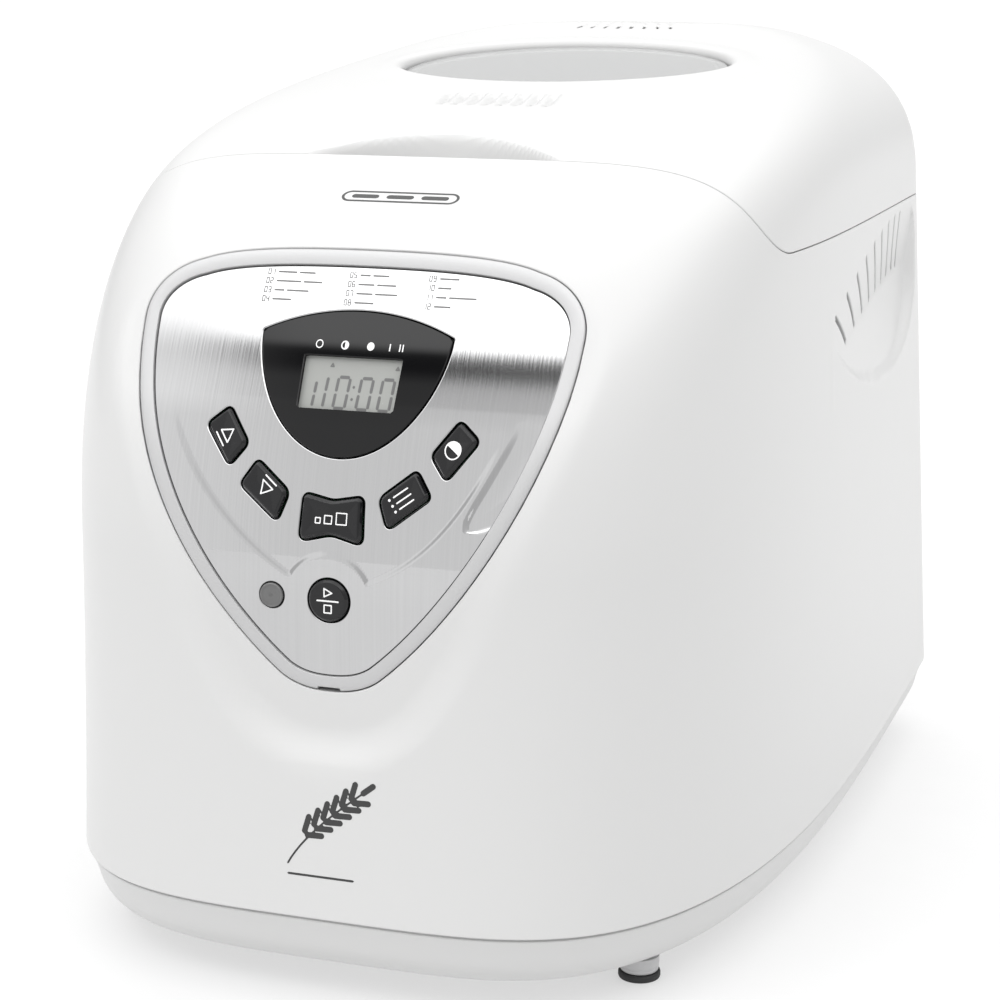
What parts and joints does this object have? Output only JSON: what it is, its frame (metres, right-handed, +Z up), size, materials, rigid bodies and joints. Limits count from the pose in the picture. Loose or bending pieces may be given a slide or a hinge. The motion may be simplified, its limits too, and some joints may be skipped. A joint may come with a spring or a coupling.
{
  "type": "bread machine",
  "caption": "White domed bread machine with hinged windowed lid, shield-shaped control panel, lift-out pan, kneading paddle and belt drive.",
  "frame": {"origin": "centre of the base on the surface it stands on", "axes": "+Z up, front with the control panel faces -Y, longest side along Y"},
  "size_m": [0.2658, 0.3636, 0.297],
  "materials": {
    "white_shell": "satin moulded",
    "tray_plastic": "satin moulded",
    "deck_plastic": "satin moulded",
    "foot_plastic": "matte",
    "black_rubber": "matte",
    "grey_plastic": "matte",
    "window_glass": "clear",
    "silicone": "matte",
    "steel_sheet": "mill",
    "steel_rod": "bright",
    "element_sheath": "dark sheath",
    "insulator_ceramic": "glazed",
    "nonstick": "non-stick coated",
    "cast_metal": "as cast",
    "bronze": "sintered",
    "white_component": "matte",
    "circuit_board": "solder mask",
    "brushed_trim": "brushed",
    "black_gloss": "gloss",
    "lcd_glass": "satin",
    "black_component": "matte",
    "light_pipe": "ribbed"
  },
  "bodies": {
    "housing": {"body_housing": "white_shell", "base_tray": "tray_plastic", "feet": "foot_plastic", "foot_pads": "black_rubber", "rear_cover": "white_shell", "cord_gland": "grey_plastic", "hinge_brackets": "steel_sheet", "hinge_pins": "steel_rod", "chamber_deck": "deck_plastic", "oven_chamber": "steel_sheet", "chamber_spacers": "steel_rod", "heat_shield": "steel_sheet", "heating_element": "element_sheath", "element_insulators": "insulator_ceramic", "pan_seat": "cast_metal", "shaft_bearing": "bronze", "drive_belt": "black_rubber", "motor": "steel_sheet", "motor_bracket": "steel_sheet", "motor_capacitor": "white_component", "chassis_plate": "steel_sheet", "control_board": "circuit_board", "board_bracket": "steel_sheet", "temperature_sensor": "steel_sheet", "thermal_fuse": "steel_sheet", "panel_trim_ring": "brushed_trim", "faceplate": "brushed_trim", "display_lens": "black_gloss", "lcd_module": "lcd_glass", "panel_frame": "grey_plastic", "switch_board": "circuit_board", "tact_switches": "black_component", "status_light_pipe": "light_pipe", "screws": "steel_rod"},
    "lid": {"lid_shell": "white_shell", "lid_window": "window_glass", "window_gasket": "silicone", "lid_liner": "steel_sheet", "hinge_arms": "steel_sheet"},
    "pan": {"bread_pan": "nonstick", "pan_bearing": "cast_metal"},
    "handle": {"pan_handle": "steel_rod"},
    "paddle": {"kneading_paddle": "nonstick", "pan_shaft": "steel_rod"},
    "drive": {"output_shaft": "steel_rod", "drive_coupler": "grey_plastic", "large_pulley": "grey_plastic"},
    "rotor": {"motor_shaft": "steel_rod", "motor_pulley": "steel_rod"},
    "time_up": {"time_up_button": "black_gloss"},
    "time_down": {"time_down_button": "black_gloss"},
    "loaf_size": {"loaf_size_button": "black_gloss"},
    "options": {"options_button": "black_gloss"},
    "crust_colour": {"crust_colour_button": "black_gloss"},
    "start_stop": {"start_stop_button": "black_gloss"}
  },
  "joints": [
    {"name": "lid_hinge", "type": "hinge", "parent": "housing", "child": "lid", "pos_m": [0, 0.1752, 0.2365], "axis": [-1, 0, 0], "range_deg": [0, 78]},
    {"name": "pan_lift", "type": "slide", "parent": "housing", "child": "pan", "axis": [0, 0, 1], "range_m": [0, 0.01]},
    {"name": "handle_swing", "type": "hinge", "parent": "pan", "child": "handle", "pos_m": [0, 0.062, 0.197], "axis": [1, 0, 0], "range_deg": [0, 14]},
    {"name": "drive_spin", "type": "hinge", "parent": "housing", "child": "drive", "pos_m": [0, 0.062, 0.05], "axis": [0, 0, 1], "continuous": true},
    {"name": "paddle_spin", "type": "hinge", "parent": "pan", "child": "paddle", "pos_m": [0, 0.062, 0.08], "axis": [0, 0, 1], "continuous": true},
    {"name": "motor_spin", "type": "hinge", "parent": "housing", "child": "rotor", "pos_m": [0.048, -0.11, 0.06], "axis": [0, 0, 1], "continuous": true},
    {"name": "time_up_press", "type": "slide", "parent": "housing", "child": "time_up", "axis": [0, 1, 0], "range_m": [0, 0.001], "stiffness_N_per_m": 800, "springref_m": -0.0005},
    {"name": "time_down_press", "type": "slide", "parent": "housing", "child": "time_down", "axis": [0, 1, 0], "range_m": [0, 0.001], "stiffness_N_per_m": 800, "springref_m": -0.0005},
    {"name": "loaf_size_press", "type": "slide", "parent": "housing", "child": "loaf_size", "axis": [0, 1, 0], "range_m": [0, 0.001], "stiffness_N_per_m": 800, "springref_m": -0.0005},
    {"name": "options_press", "type": "slide", "parent": "housing", "child": "options", "axis": [0, 1, 0], "range_m": [0, 0.001], "stiffness_N_per_m": 800, "springref_m": -0.0005},
    {"name": "crust_colour_press", "type": "slide", "parent": "housing", "child": "crust_colour", "axis": [0, 1, 0], "range_m": [0, 0.001], "stiffness_N_per_m": 800, "springref_m": -0.0005},
    {"name": "start_stop_press", "type": "slide", "parent": "housing", "child": "start_stop", "axis": [0, 1, 0], "range_m": [0, 0.001], "stiffness_N_per_m": 800, "springref_m": -0.0005}
  ],
  "couplings": [
    {"joint": "paddle_spin", "follows": "drive_spin", "ratio": 1},
    {"joint": "motor_spin", "follows": "drive_spin", "ratio": 6.1}
  ]
}
